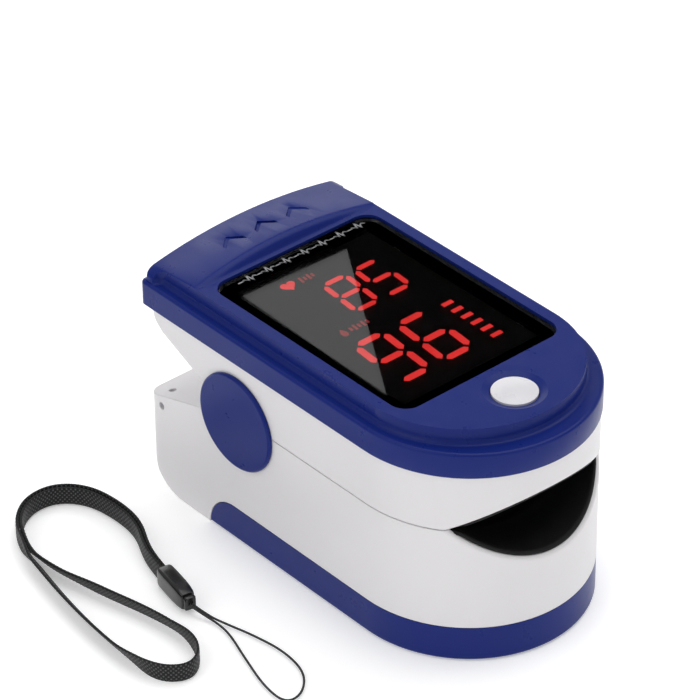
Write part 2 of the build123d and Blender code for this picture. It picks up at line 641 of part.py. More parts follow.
def route(points, start, finish, z, name, area, start_z=None, near_z=None):
    """Straight runs joined by tangent arcs, each as large as its two runs allow."""
    high, next_to = start_z or z, near_z or z
    heights = [next_to] + [z] * (len(points) - 2) + [next_to]
    middle = [Vector(x, y, height) for (x, y), height in zip(points, heights)]
    whole = [Vector(start.X, start.Y, high)] + middle + [Vector(finish.X, finish.Y, high)]
    radii = []
    for a, b, c in zip(whole, whole[1:], whole[2:]):
        turn = math.radians((b - a).get_angle(c - b))
        shorter = min((b - a).length, (c - b).length)
        radii.append(0.45 * shorter / math.tan(turn / 2))
    path = FilletPolyline(*whole, radius=radii)
    print(name, "radii", [round(r, 1) for r in radii])
    print(name, "length", round(path.length, 1), "volume", round(path.length * area, 2))
    return path


def strand_end(end, side, reach):
    """Where a strand leaves the clasp, and the first point straight out from it."""
    along, across_clasp = clasp_axes()
    base = CLASP_TAIL if end > 0 else CLASP_NOSE
    start = base + across_clasp * (side * SPACING)
    return start, start + along * (end * reach)


def beside(points, side):
    """The same route moved sideways by each point's half distance."""
    moved = []
    for i, (x, y) in enumerate(points):
        gap = APART[i] * side
        before = points[max(i - 1, 0)]
        after = points[min(i + 1, len(points) - 1)]
        along = Vector(after[0] - before[0], after[1] - before[1]).normalized()
        moved.append((x + along.Y * gap, y - along.X * gap))
    return moved


def make_strap():
    first, first_run = strand_end(1, 1, 2.0)
    last, last_run = strand_end(1, -1, 2.0)
    out = beside(DOUBLED, 1)
    back = beside(DOUBLED, -1)[::-1]
    points = [(first_run.X, first_run.Y)] + out + LOOP + back + [(last_run.X, last_run.Y)]
    z = STRAP_WIDTH / 2
    path = route(points, first, last, z, "strap", STRAP_WIDTH * STRAP_THICK)
    start = Plane(origin=path @ 0, z_dir=path % 0, x_dir=(0, 0, 1))
    return sweep(start * Rectangle(STRAP_WIDTH, STRAP_THICK), path)


def make_thread():
    first, _ = strand_end(-1, 1, 1.0)
    last, _ = strand_end(-1, -1, 1.0)
    area = math.pi * THREAD ** 2 / 4
    path = route(THREAD_ROUTE, first, last, THREAD / 2 + 0.05, "thread", area, THREAD_EXIT, THREAD_NEAR)
    return sweep(Plane(origin=path @ 0, z_dir=path % 0) * Circle(THREAD / 2), path)


def make_clasp():
    along, _ = clasp_axes()
    length = (CLASP_TAIL - CLASP_NOSE).length
    block = Box(length, 2.9, 3.2)
    block = chamfer(block.edges().filter_by(Axis.X), 0.5)
    taper = block.faces().sort_by(Axis.X)[0].edges()
    block = chamfer(taper, 0.7, 0.45)
    middle = (CLASP_TAIL + CLASP_NOSE) * 0.5
    angle = math.degrees(math.atan2(along.Y, along.X))
    return Pos(middle.X, middle.Y, 1.6) * Rot(0, 0, angle) * block


# ---- the flexible circuit between the jaws ---------------------------------------------------
def make_flex():
    """A thin ribbon from the sensor board, back under the pad, up past the shaft to the main board."""
    route_yz = [(-1.4, 13.1), (8.9, 13.1), (8.9, 18.0), (9.4, 23.0), (9.4, Z_PCB)]
    line = FilletPolyline(*route_yz, radius=0.9)
    ribbon = Plane.YZ * trace(line, 0.14)
    return extrude(ribbon, 2.0, both=True)


# ---- build ----------------------------------------------------------------------------------
keep("lower_shell", make_lower_shell())
keep("battery_cover", make_battery_cover())
keep("lower_finger_pad", make_pad(False))
keep("upper_finger_pad", make_pad(True))
keep("battery_left", make_cell(-CELL_X, -1))
keep("battery_right", make_cell(CELL_X, 1))
keep("battery_springs", make_battery_springs())
make_terminals()
make_sensor("photodiode", (Z_SENSOR, 13.4), (13.4, 13.8), (13.8, 14.3))
make_sensor("emitter", (26.4, 27.0), (25.6, 26.4), (23.9, 25.6))
keep("hinge_shaft", rod(SHAFT, -EAR_OUTER - 1.1, EAR_OUTER + 1.1, PIVOT_Y, PIVOT_Z))
for label, side in (("left", -1), ("right", 1)):
    keep("hinge_cap_" + label, make_hinge_cap(side))
    keep("torsion_spring_" + label, make_torsion_spring(side))
    keep("spring_arm_" + label, make_spring_arm(side))
keep("upper_shell", make_upper_shell())
keep("top_cover", make_top_cover())
keep("display_lens", make_lens())
keep("lens_tape", make_lens_tape())
keep("power_button", make_button())
make_switch()
keep("main_pcb", make_pcb())
keep("display_module", box(-10.9, 10.9, -13.8, 17.2, Z_PCB + PCB_THICK, Z_FACE))
keep("display_segments", make_segments())
keep("microcontroller", box(-3.5, 3.5, 0.0, 7.0, Z_PCB - 0.9, Z_PCB))
keep("flex_connector", box(-2.6, 2.6, 9.6, 11.4, Z_PCB - 0.8, Z_PCB))
keep("support_chips", make_support_chips())
keep("pcb_screws", make_screws(PCB_POSTS, Z_PCB + PCB_THICK, 1.3, 0.6, True, 1.9))
keep("case_screws", make_screws(CASE_SCREWS, Z_UPPER_FLOOR + 0.6, 1.6, 0.6, False, 4.5))
keep("sensor_flex", make_flex())
keep("lanyard_strap", make_strap())
keep("lanyard_thread", make_thread())
keep("lanyard_clasp", make_clasp())

os.makedirs("parts", exist_ok=True)
for node, shape in NODES.items():
    export_step(shape, "parts/" + node + ".step")
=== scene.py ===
import math

import bpy
from mathutils import Matrix, Vector


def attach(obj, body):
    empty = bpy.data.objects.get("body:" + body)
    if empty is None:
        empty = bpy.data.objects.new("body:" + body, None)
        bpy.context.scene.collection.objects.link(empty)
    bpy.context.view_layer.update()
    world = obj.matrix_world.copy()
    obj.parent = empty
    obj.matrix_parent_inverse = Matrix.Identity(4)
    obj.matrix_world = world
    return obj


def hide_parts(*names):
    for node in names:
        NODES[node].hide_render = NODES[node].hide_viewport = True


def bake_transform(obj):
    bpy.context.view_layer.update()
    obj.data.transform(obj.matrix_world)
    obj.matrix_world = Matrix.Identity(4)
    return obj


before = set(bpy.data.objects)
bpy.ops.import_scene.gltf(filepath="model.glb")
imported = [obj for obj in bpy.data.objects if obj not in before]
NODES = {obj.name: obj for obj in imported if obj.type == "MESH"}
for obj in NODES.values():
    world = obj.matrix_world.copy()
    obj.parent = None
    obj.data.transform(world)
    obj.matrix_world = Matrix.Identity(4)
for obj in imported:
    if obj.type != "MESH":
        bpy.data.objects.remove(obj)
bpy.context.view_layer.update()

MM = 0.001


# ---- camera ---------------------------------------------------------------------------------
def make_camera():
    azimuth, elevation, roll = math.radians(-40.97), math.radians(34.71), math.radians(-0.47)
    target, distance = Vector((0.44, 9.01, 23.12)) * MM, 501.84 * MM
    level = math.cos(elevation)
    back = Vector((math.sin(azimuth) * level, -math.cos(azimuth) * level, math.sin(elevation)))
    right = Vector((math.cos(azimuth), math.sin(azimuth), 0.0))
    up = back.cross(right)
    c, s = math.cos(roll), math.sin(roll)
    right, up = right * c + up * s, up * c - right * s
    data = bpy.data.cameras.new("camera")
    data.sensor_width = 36.0
    data.lens = 205.71
    data.clip_start = 0.01
    camera = bpy.data.objects.new("camera", data)
    place = Matrix((right, up, back)).transposed().to_4x4()
    place.translation = target + back * distance
    camera.matrix_world = place
    bpy.context.scene.collection.objects.link(camera)
    bpy.context.scene.camera = camera
    return camera


CAMERA = make_camera()


# ---- small helpers --------------------------------------------------------------------------
def link(obj):
    bpy.context.scene.collection.objects.link(obj)
    return obj


def mesh_object(name, verts, faces, smooth=True, sharp=None):
    mesh = bpy.data.meshes.new(name)
    mesh.from_pydata([tuple(v) for v in verts], [], faces)
    mesh.update()
    if smooth:
        mesh.shade_smooth()
    if sharp is not None:
        mesh.set_sharp_from_angle(angle=math.radians(sharp))
    return link(bpy.data.objects.new(name, mesh))


def nodes_of(name):
    material = bpy.data.materials.new(name)
    material.use_nodes = True
    tree = material.node_tree
    shader = tree.nodes["Principled BSDF"]
    return material, tree, shader


def noise(tree, scale, detail=3.0, rough=0.5, vector=None):
    node = tree.nodes.new("ShaderNodeTexNoise")
    node.inputs["Scale"].default_value = scale
    node.inputs["Detail"].default_value = detail
    node.inputs["Roughness"].default_value = rough
    if vector is not None:
        tree.links.new(vector, node.inputs["Vector"])
    return node.outputs["Fac"]


def coords(tree):
    return tree.nodes.new("ShaderNodeTexCoord").outputs["Object"]


def ramp(tree, source, stops):
    node = tree.nodes.new("ShaderNodeValToRGB")
    bar = node.color_ramp
    while len(bar.elements) < len(stops):
        bar.elements.new(0.5)
    for element, (place, colour) in zip(bar.elements, stops):
        element.position = place
        element.color = (*colour, 1.0)
    tree.links.new(source, node.inputs["Fac"])
    return node.outputs["Color"]


def levels(tree, source, low, high, start=0.0, stop=1.0):
    node = tree.nodes.new("ShaderNodeMapRange")
    node.inputs["From Min"].default_value = start
    node.inputs["From Max"].default_value = stop
    node.inputs["To Min"].default_value = low
    node.inputs["To Max"].default_value = high
    tree.links.new(source, node.inputs["Value"])
    return node.outputs["Result"]


def bump(tree, shader, height, strength, distance, edge=0.0):
    node = tree.nodes.new("ShaderNodeBump")
    if edge > 0:
        rounding = tree.nodes.new("ShaderNodeBevel")
        rounding.samples = 6
        rounding.inputs["Radius"].default_value = edge
        tree.links.new(rounding.outputs["Normal"], node.inputs["Normal"])
    node.inputs["Strength"].default_value = strength
    node.inputs["Distance"].default_value = distance
    tree.links.new(height, node.inputs["Height"])
    tree.links.new(node.outputs["Normal"], shader.inputs["Normal"])


def plastic(name, colour, rough, grain=0.3, shift=0.03, edge=0.0, shine=0.5):
    """Moulded plastic: fine spark-eroded grain, slow colour drift, uneven gloss and broken edges."""
    material, tree, shader = nodes_of(name)
    where = coords(tree)
    drift = noise(tree, 60.0, 2.0, 0.5, where)
    dark = tuple(c * (1.0 - shift) for c in colour)
    light = tuple(min(1.0, c * (1.0 + shift)) for c in colour)
    tree.links.new(ramp(tree, drift, [(0.3, dark), (0.7, light)]), shader.inputs["Base Color"])
    gloss = noise(tree, 350.0, 4.0, 0.6, where)
    tree.links.new(levels(tree, gloss, rough * 0.88, rough * 1.14, 0.3, 0.7), shader.inputs["Roughness"])
    fine = noise(tree, 5200.0, 2.0, 0.5, where)
    bump(tree, shader, fine, grain, 0.00003, edge)
    shader.inputs["Specular IOR Level"].default_value = shine
    return material


def metal(name, colour, rough):
    material, tree, shader = nodes_of(name)
    where = coords(tree)
    drift = noise(tree, 900.0, 3.0, 0.6, where)
    dark = tuple(c * 0.86 for c in colour)
    tree.links.new(ramp(tree, drift, [(0.3, dark), (0.7, colour)]), shader.inputs["Base Color"])
    tree.links.new(levels(tree, drift, rough * 0.8, rough * 1.25, 0.3, 0.7), shader.inputs["Roughness"])
    shader.inputs["Metallic"].default_value = 1.0
    bump(tree, shader, noise(tree, 7000.0, 2.0, 0.5, where), 0.1, 0.00002)
    return material


def clear(name, colour, rough, ior=1.49):
    material, tree, shader = nodes_of(name)
    where = coords(tree)
    shader.inputs["Base Color"].default_value = (*colour, 1.0)
    smear = noise(tree, 90.0, 3.0, 0.6, where)
    tree.links.new(levels(tree, smear, rough * 0.6, rough * 1.4, 0.3, 0.7), shader.inputs["Roughness"])
    shader.inputs["IOR"].default_value = ior
    shader.inputs["Transmission Weight"].default_value = 1.0
    return material


def glow(name, colour, strength):
    """A light guide lit by the diode under it: its glow drifts at random between a dimmer and a brighter red.
    """
    material, tree, shader = nodes_of(name)
    where = coords(tree)
    shader.inputs["Base Color"].default_value = (0.35, 0.02, 0.015, 1.0)
    spread = noise(tree, 420.0, 2.0, 0.5, where)
    hot = tuple(min(1.0, c * 1.05) for c in colour)
    cool = (colour[0] * 0.86, colour[1] * 0.7, colour[2] * 0.7)
    tree.links.new(ramp(tree, spread, [(0.25, cool), (0.75, hot)]), shader.inputs["Emission Color"])
    shader.inputs["Emission Strength"].default_value = strength
    shader.inputs["Roughness"].default_value = 0.5
    return material


def zone(tree, where, direction, inner, outer):
    """1 within inner degrees of a direction, fading to 0 at outer degrees."""
    dot = tree.nodes.new("ShaderNodeVectorMath")
    dot.operation = "DOT_PRODUCT"
    tree.links.new(where, dot.inputs[0])
    dot.inputs[1].default_value = Vector(direction).normalized()
    node = tree.nodes.new("ShaderNodeMapRange")
    node.interpolation_type = "SMOOTHSTEP"
    node.inputs["From Min"].default_value = math.cos(math.radians(outer))
    node.inputs["From Max"].default_value = math.cos(math.radians(inner))
    tree.links.new(dot.outputs["Value"], node.inputs["Value"])
    return node.outputs["Result"]


def math_node(tree, operation, a, b):
    node = tree.nodes.new("ShaderNodeMath")
    node.operation = operation
    for socket, value in zip(node.inputs, (a, b)):
        if isinstance(value, (int, float)):
            socket.default_value = value
        else:
            tree.links.new(value, socket)
    return node.outputs["Value"]


def cell_sleeve(name, plus, minus):
    """A cell's printed sleeve between its bare steel ends; plus and minus are Y of its two shoulders."""
    material, tree, shader = nodes_of(name)
    where = coords(tree)
    split = tree.nodes.new("ShaderNodeSeparateXYZ")
    tree.links.new(where, split.inputs["Vector"])
    along = levels(tree, split.outputs["Y"], 0.0, 1.0, plus * MM, minus * MM)
    steel, copper = (0.62, 0.62, 0.63), (0.56, 0.22, 0.07)
    black, cream = (0.016, 0.017, 0.02), (0.75, 0.73, 0.66)
    stops = [(0.0, steel), (0.022, copper), (0.24, cream), (0.262, black)]
    stops += [(0.90, cream), (0.915, black), (0.978, steel)]
    colour = ramp(tree, along, stops)
    colour.node.color_ramp.interpolation = "CONSTANT"
    wear = noise(tree, 500.0, 3.0, 0.6, where)
    tint = tree.nodes.new("ShaderNodeMix")
    tint.data_type = "RGBA"
    tint.blend_type = "MULTIPLY"
    tint.inputs["Factor"].default_value = 0.35
    tree.links.new(colour, tint.inputs["A"])
    tree.links.new(ramp(tree, wear, [(0.3, (0.7, 0.7, 0.7)), (0.7, (1, 1, 1))]), tint.inputs["B"])
    tree.links.new(tint.outputs["Result"], shader.inputs["Base Color"])
    bare = ramp(tree, along, [(0.0, (1, 1, 1)), (0.022, (0.15, 0.15, 0.15)), (0.978, (1, 1, 1))])
    bare.node.color_ramp.interpolation = "CONSTANT"
    tree.links.new(bare, shader.inputs["Metallic"])
    tree.links.new(levels(tree, wear, 0.22, 0.36, 0.3, 0.7), shader.inputs["Roughness"])
    return material


TRACK_PITCH = 0.8 * MM


def ribbon_print(name):
    """Flexible circuit: amber film with copper tracks along it."""
    material, tree, shader = nodes_of(name)
    where = coords(tree)
    split = tree.nodes.new("ShaderNodeSeparateXYZ")
    tree.links.new(where, split.inputs["Vector"])
    turns = math_node(tree, "MULTIPLY", split.outputs["X"], 2 * math.pi / TRACK_PITCH)
    wave = math_node(tree, "SINE", turns, 0.0)
    film, copper = (0.36, 0.15, 0.025), (0.62, 0.28, 0.1)
    track = ramp(tree, levels(tree, wave, 0.0, 1.0, -1.0, 1.0), [(0.46, film), (0.54, copper)])
    tree.links.new(track, shader.inputs["Base Color"])
    gloss = noise(tree, 700.0, 3.0, 0.6, where)
    tree.links.new(levels(tree, gloss, 0.25, 0.4, 0.3, 0.7), shader.inputs["Roughness"])
    bump(tree, shader, wave, 0.2, 0.00003)
    return material


WHITE = plastic("white_abs", (0.755, 0.74, 0.755), 0.34, 0.22, 0.010, 0.00025)
BLUE = plastic("blue_abs", (0.0068, 0.0185, 0.165), 0.30, 0.15, 0.04, 0.0, 0.15)
BUTTON = plastic("button_abs", (0.71, 0.70, 0.73), 0.28, 0.15, 0.01)
BLACK_ABS = plastic("black_abs", (0.006, 0.006, 0.0065), 0.2, 0.1, 0.1)
MODULE = plastic("module_black", (0.004, 0.004, 0.0045), 0.6, 0.4, 0.1)
SILICONE = plastic("black_silicone", (0.0045, 0.0045, 0.005), 0.6, 0.8, 0.15, 0.0, 0.25)
BOARD = plastic("board_green", (0.012, 0.11, 0.04), 0.35, 0.2, 0.1)
CHIP = plastic("chip_epoxy", (0.012, 0.012, 0.013), 0.5, 0.5, 0.1)
DIE = plastic("emitter_die", (0.42, 0.40, 0.34), 0.35, 0.1, 0.08)
FLEX = ribbon_print("flex_film")
PRINT = plastic("silver_print", (0.30, 0.30, 0.31), 0.4, 0.6, 0.15)
CELL_LEFT = cell_sleeve("sleeve_left", -21.6, 21.9)
CELL_RIGHT = cell_sleeve("sleeve_right", 24.0, -19.5)
TAPE = plastic("foam_tape", (0.01, 0.01, 0.01), 0.8, 1.0, 0.1)
NICKEL = metal("nickel", (0.72, 0.69, 0.63), 0.22)
STEEL = metal("spring_steel", (0.55, 0.55, 0.56), 0.3)
LENS = clear("tinted_acrylic", (0.30, 0.30, 0.31), 0.012)
WINDOW = clear("clear_epoxy", (0.92, 0.92, 0.92), 0.08)
LIT = glow("lit_red", (1.0, 0.05, 0.045), 2.6)

PAINT = {
    "lower_shell": WHITE, "upper_shell": WHITE, "top_cover": BLUE, "battery_cover": BLUE,
    "hinge_cap_left": BLUE, "hinge_cap_right": BLUE, "display_lens": LENS, "lens_tape": TAPE,
    "display_module": MODULE, "display_segments": LIT, "power_button": BUTTON, "switch_body": STEEL,
    "switch_plunger": CHIP, "main_pcb": BOARD, "microcontroller": CHIP, "support_chips": CHIP,
    "flex_connector": CHIP, "pcb_screws": STEEL, "case_screws": STEEL,
    "emitter": DIE, "emitter_board": BOARD, "emitter_window": WINDOW,
    "photodiode": CHIP, "photodiode_board": BOARD, "photodiode_window": WINDOW,
    "battery_left": CELL_LEFT, "battery_right": CELL_RIGHT, "battery_springs": NICKEL,
    "negative_terminal": NICKEL, "positive_terminal": NICKEL, "terminal_bridge": NICKEL, "hinge_shaft": STEEL,
    "torsion_spring_left": STEEL, "torsion_spring_right": STEEL, "spring_arm_left": STEEL,
    "spring_arm_right": STEEL,
}


def paint(obj, material):
    obj.data.materials.clear()
    obj.data.materials.append(material)


for node, material in PAINT.items():
    paint(NODES[node], material)


def soften(obj, width):
    """Breaks the sharp moulded edges that the drawing leaves square."""
    weld = obj.modifiers.new("weld", "WELD")
    weld.merge_threshold = 0.000002
    round_off = obj.modifiers.new("round", "BEVEL")
    round_off.width = width
    round_off.segments = 3
    round_off.limit_method = "ANGLE"
    round_off.angle_limit = math.radians(38)
    round_off.harden_normals = True
    round_off.use_clamp_overlap = True


soften(NODES["top_cover"], 0.22 * MM)


# ---- wrist lanyard --------------------------------------------------------------------------
STRAP_WIDTH = 2.6 * MM
STRAP_THICK = 0.36 * MM
THREAD = 0.3 * MM
THREAD_EXIT, THREAD_NEAR = 1.3, 0.6
SPACING = 0.21
CLASP_TAIL = Vector((-28.75, 11.2))
CLASP_NOSE = Vector((-30.05, 4.3))
DOUBLED = [
    (-27.4, 16.4), (-25.1, 20.8), (-24.7, 25.6), (-25.5, 30.6), (-28.4, 33.8),
    (-32.4, 34.1), (-35.9, 31.9), (-38.0, 28.2),
]
APART = [0.27, 0.32, 0.36, 0.38, 0.36, 0.32, 0.28, 0.27]
LOOP = [
    (-39.4, 22.8), (-40.7, 16.2), (-41.6, 9.5), (-42.0, 2.9), (-41.8, -3.1), (-38.6, -5.9),
    (-35.4, -4.2), (-33.9, 0.2), (-34.5, 6.0), (-36.6, 14.4), (-38.2, 22.6),
]
THREAD_ROUTE = [
    (-29.3, 1.9), (-28.4, -0.4), (-27.3, -4.4), (-26.5, -9.4), (-27.3, -14.2),
    (-30.2, -17.0), (-32.8, -16.9), (-32.7, -12.9), (-30.9, -7.0), (-29.3, -2.2),
    (-29.1, 0.4), (-29.6, 2.2),
]
ALONG = (CLASP_TAIL - CLASP_NOSE).normalized()
ACROSS = Vector((ALONG.y, -ALONG.x))


def beside(points, side):
    moved = []
    for i, point in enumerate(points):
        before = Vector(points[max(i - 1, 0)])
        after = Vector(points[min(i + 1, len(points) - 1)])
        along = (after - before).normalized()
        moved.append(Vector(point) + Vector((along.y, -along.x)) * (APART[i] * side))
    return moved


def strand_end(end, side, reach):
    base = CLASP_TAIL if end > 0 else CLASP_NOSE
    start = base + ACROSS * (side * SPACING)
    return start, start + ALONG * (end * reach)


def strap_points():
    first, first_run = strand_end(1, 1, 2.0)
    last, last_run = strand_end(1, -1, 2.0)
    flat = [first, first_run] + beside(DOUBLED, 1) + [Vector(p) for p in LOOP]
    flat += beside(DOUBLED, -1)[::-1] + [last_run, last]
    return [Vector((p.x, p.y, 0.0)) * MM + Vector((0, 0, STRAP_WIDTH / 2)) for p in flat]


def thread_points():
    first, _ = strand_end(-1, 1, 1.0)
    last, _ = strand_end(-1, -1, 1.0)
    flat = [first] + [Vector(p) for p in THREAD_ROUTE] + [last]
    ground = THREAD / 2 / MM + 0.05
    heights = [THREAD_EXIT, THREAD_NEAR] + [ground] * (len(flat) - 4) + [THREAD_NEAR, THREAD_EXIT]
    return [Vector((p.x, p.y, height)) * MM for p, height in zip(flat, heights)]


def spline_curve(name, points, radius=0.0):
    curve = bpy.data.curves.new(name, "CURVE")
    curve.dimensions = "3D"
    spline = curve.splines.new("NURBS")
    spline.points.add(len(points) - 1)
    for target, point in zip(spline.points, points):
        target.co = (*point, 1.0)
    spline.order_u = 3
    spline.use_endpoint_u = True
    spline.resolution_u = 24
    curve.bevel_depth = radius
    curve.bevel_resolution = 5
    curve.use_fill_caps = radius > 0
    return link(bpy.data.objects.new(name, curve))


def curve_line(points):
    """Points along the NURBS spline through the route."""
    probe = spline_curve("probe", points)
    mesh = bpy.data.meshes.new_from_object(probe)
    line = [v.co.copy() for v in mesh.vertices]
    bpy.data.objects.remove(probe)
    bpy.data.meshes.remove(mesh)
    return line


def even(line, step):
    """The same line with points a fixed step apart."""
    total = sum((b - a).length for a, b in zip(line, line[1:]))
    count = max(2, round(total / step))
    out, target, walked = [line[0]], total / count, 0.0
    for a, b in zip(line, line[1:]):
        run = (b - a).length
        while run > 0 and walked + run >= target - 1e-12 and len(out) < count:
            out.append(a.lerp(b, (target - walked) / run))
            target += total / count
        walked += run
    return out + [line[-1]]


def smooth(t):
    t = min(1.0, max(0.0, t))
    return t * t * (3 - 2 * t)


def length_of(line):
    return sum((b - a).length for a, b in zip(line, line[1:]))


def strap_lean(here, ahead):
    """Angle that the strap's top edge leans away from the clip: both runs of the loop, the outer one more."""
    x, y = here.x / MM, here.y / MM
    if ahead.y < 0 and x < -37.9:
        return math.radians(33) * smooth((28.5 - y) / 5) * smooth((y + 4.5) / 9)
    if ahead.y > 0 and x < -33 and y < 29.5:
        return math.radians(-24 - 9 * smooth((y - 14) / 6)) * smooth((29.5 - y) / 5) * smooth((y + 3) / 6)
    return 0.0


def make_strap():
    """Flat woven strap standing on its edge, with yarns raised on its faces and picks along its edges."""
    line = even(curve_line(strap_points()), 0.11 * MM)
    warps, weave, cells = 8, 0.6 * MM, 36
    yarn_lift, pick_lift = 0.045 * MM, 0.03 * MM
    half_w, half_t = STRAP_WIDTH / 2, STRAP_THICK / 2
    verts, faces, yarns = [], [], []
    count = len(line)
    walked = 0.0
    for i, here in enumerate(line):
        ahead = (line[min(i + 1, count - 1)] - line[max(i - 1, 0)]).normalized()
        side = Vector((ahead.y, -ahead.x, 0.0))
        if i:
            walked += (here - line[i - 1]).length
        lean = strap_lean(here, ahead)
        stand = Vector((0, 0, 1)) * math.cos(lean) + side * math.sin(lean)
        out = side * math.cos(lean) - Vector((0, 0, 1)) * math.sin(lean)
        sink = Vector((0, 0, -half_w * (1 - math.cos(lean))))
        for j in range(cells):
            # walk round a flat rounded section: up one face, over, down the other
            angle = 2 * math.pi * j / cells
            c, s = math.cos(angle), math.sin(angle)
            height = half_w * math.copysign(abs(s) ** 0.55, s)
            depth = half_t * math.copysign(abs(c) ** 0.35, c)
            across = height / half_w
            column = (across + 1) / 2 * warps
            phase = math.pi * (int(column) % 2)
            ridge = abs(math.sin(math.pi * column))
            over = math.sin(2 * math.pi * walked / weave + phase + (0.5 * math.pi if c < 0 else 0.0))
            lift = yarn_lift * ridge ** 0.5 * (0.4 + 0.6 * over)
            edge = max(0.0, abs(across) - 0.86) / 0.14
            pick = pick_lift * edge * math.sin(4 * math.pi * walked / weave)
            depth += math.copysign(lift, c) * (1 - edge)
            height = min(max(height + math.copysign(pick, height), -half_w), half_w + pick)
            verts.append(here + sink + out * depth + stand * height)
            yarns += [2 * walked / weave, column, 0.0]
    for i in range(count - 1):
        for j in range(cells):
            k = (j + 1) % cells
            faces.append((i * cells + j, i * cells + k, (i + 1) * cells + k, (i + 1) * cells + j))
    faces.append(tuple(range(cells - 1, -1, -1)))
    faces.append(tuple((count - 1) * cells + j for j in range(cells)))
    strap = mesh_object("strap", verts, faces, sharp=60)
    strap.data.attributes.new("yarn", "FLOAT_VECTOR", "POINT").data.foreach_set("vector", yarns)
    return strap, line


def woven(name, colour, contrast=12.0, yarns=False):
    """Tight black weave: dark yarns with random fibre flecks, plus painted highlights and painted shade on
    alternate yarn crossings of the strap.
    """
    material, tree, shader = nodes_of(name)
    where = coords(tree)
    fibres = noise(tree, 9000.0, 3.0, 0.6, where)
    if yarns:
        place = tree.nodes.new("ShaderNodeAttribute")
        place.attribute_name = "yarn"
        split = tree.nodes.new("ShaderNodeSeparateXYZ")
        tree.links.new(place.outputs["Vector"], split.inputs["Vector"])
        along = math_node(tree, "SINE", math_node(tree, "MULTIPLY", split.outputs["X"], math.pi), 0.0)
        across = math_node(tree, "SINE", math_node(tree, "MULTIPLY", split.outputs["Y"], math.pi), 0.0)
        crossing = levels(tree, math_node(tree, "MULTIPLY", along, across), 0.0, 1.0, -1.0, 1.0)
    else:
        crossing = noise(tree, 5000.0, 1.0, 0.4, where)
    mixed = tree.nodes.new("ShaderNodeMix")
    mixed.data_type = "FLOAT"
    mixed.inputs["Factor"].default_value = 0.55
    tree.links.new(fibres, mixed.inputs["A"])
    tree.links.new(crossing, mixed.inputs["B"])
    # Painted highlight and shade: the light stop paints highlights on the raised yarn crossings of the strap
    # and the dark stop paints shade on the alternate ones; on the thread the same stops give random light
    # flecks.
    dark = tuple(c * 0.5 for c in colour)
    fleck_and_highlight = tuple(c * contrast for c in colour)
    tint = ramp(tree, mixed.outputs["Result"], [(0.35, dark), (0.56, colour), (0.76, fleck_and_highlight)])
    tree.links.new(tint, shader.inputs["Base Color"])
    tree.links.new(levels(tree, fibres, 0.55, 0.85, 0.3, 0.7), shader.inputs["Roughness"])
    shader.inputs["Specular IOR Level"].default_value = 0.3
    shader.inputs["Sheen Weight"].default_value = 0.1
    shader.inputs["Sheen Roughness"].default_value = 0.4
    bump(tree, shader, mixed.outputs["Result"], 0.7, 0.00008)
    return material


STRAP_BLACK = woven("woven_black", (0.0085, 0.0085, 0.009), yarns=True)
THREAD_GREY = woven("thread_grey", (0.04, 0.04, 0.042), 2.0)


def make_clasp():
    """Moulded bead that grips the strap: bevelled block with a waist at the thread end."""
    length = (CLASP_TAIL - CLASP_NOSE).length * MM
    sections = [
        (0.00, 0.62, 0.62), (0.02, 0.70, 0.70), (0.06, 0.70, 0.70), (0.07, 0.62, 0.62), (0.10, 0.62, 0.62),
        (0.11, 0.80, 0.82), (0.14, 0.86, 0.88), (0.28, 0.96, 0.97), (0.45, 1.00, 1.00),
        (0.80, 1.00, 1.00), (0.93, 0.98, 0.98), (0.98, 0.93, 0.94), (1.00, 0.86, 0.90),
    ]
    half_w, half_h = 1.12 * MM, 1.4 * MM
    profile = []
    for i in range(32):
        angle = 2 * math.pi * (i + 0.5) / 32
        c, s = math.cos(angle), math.sin(angle)
        profile.append((math.copysign(abs(c) ** 0.3, c), math.copysign(abs(s) ** 0.3, s)))
    verts, faces = [], []
    along = Vector((ALONG.x, ALONG.y, 0.0))
    across = Vector((ACROSS.x, ACROSS.y, 0.0))
    nose = Vector((CLASP_NOSE.x, CLASP_NOSE.y, 1.42)) * MM
    for t, wide, tall in sections:
        for u, v in profile:
            offset = across * (u * half_w * wide) + Vector((0, 0, v * half_h * tall))
            verts.append(nose + along * (t * length) + offset)
    n = len(profile)
    for i in range(len(sections) - 1):
        for j in range(n):
            k = (j + 1) % n
            faces.append((i * n + j, i * n + k, (i + 1) * n + k, (i + 1) * n + j))
    faces.append(tuple(range(n - 1, -1, -1)))
    faces.append(tuple((len(sections) - 1) * n + j for j in range(n)))
    return mesh_object("clasp", verts, faces, sharp=40)


def make_lanyard():
    strap, strap_line = make_strap()
    paint(strap, STRAP_BLACK)
    thread = spline_curve("thread", thread_points(), THREAD / 2)
    thread.data.materials.append(THREAD_GREY)
    clasp = make_clasp()
    paint(clasp, BLACK_ABS)
    for piece, node, slot in (
        (strap, "lanyard_strap", "strap_black"),
        (thread, "lanyard_thread", "thread_black"),
        (clasp, "lanyard_clasp", "clasp_black"),
    ):
        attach(piece, "base")
        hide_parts(node)
    round(length_of(curve_line(thread_points())), 4)


make_lanyard()


# ---- silicone finger pads -------------------------------------------------------------------
SPLIT = 19.6                  # heights and lengths in millimetres, as in the CAD frame
PAD_BACK = 6.9
NOSE_START = -12.95
NOSE_DEEP = 16.6
WINDOW_X, WINDOW_Y = 2.55, (-7.75, -2.65)
JAW_HALF = 16.2               # half the width of both jaws at the split line
LIP_INSET = 0.4
RIB_PITCH = 2.1
SIDE_CELLS, WINDOW_CELLS, BACK_CELLS = 44, 20, 40


def spread(low, high, count):
    return [low + (high - low) * i / count for i in range(count)]


def depth_at(x, half, deep):
    """How far a round trough of that half width and depth reaches past the split line at x."""
    radius = (half * half + deep * deep) / (2 * deep)
    return deep - radius + math.sqrt(max(0.0, radius * radius - x * x))


